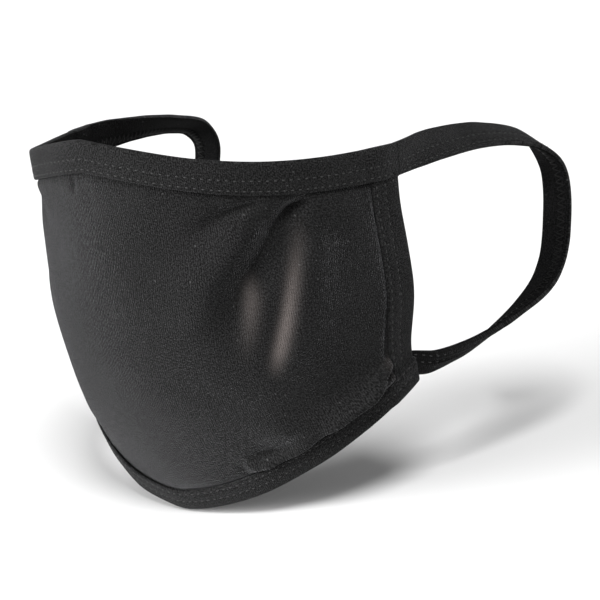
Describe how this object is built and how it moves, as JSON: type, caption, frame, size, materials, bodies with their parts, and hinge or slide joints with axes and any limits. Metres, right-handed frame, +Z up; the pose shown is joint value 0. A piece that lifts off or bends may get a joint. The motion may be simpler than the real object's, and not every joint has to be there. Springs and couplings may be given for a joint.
{
  "type": "cloth face mask",
  "caption": "Curved two-ply jersey face mask with folded bindings on every edge and a flat strap loop for each ear.",
  "frame": {"origin": "midway between the middles of the two side edges, on the plane of symmetry, where the mask sits on the face", "axes": "+X to the wearer's left, +Y towards the wearer's head, +Z up, the front facing -Y"},
  "size_m": [0.1712, 0.1479, 0.131],
  "materials": {
    "jersey": "matte brushed knit",
    "binding": "matte knit",
    "thread": "matte polyester thread"
  },
  "bodies": {
    "root": {"front_panel": "jersey", "top_binding": "binding", "bottom_binding": "binding", "side_binding_left": "binding", "side_binding_right": "binding", "ear_loop_left": "binding", "ear_loop_right": "binding"}
  },
  "joints": []
}
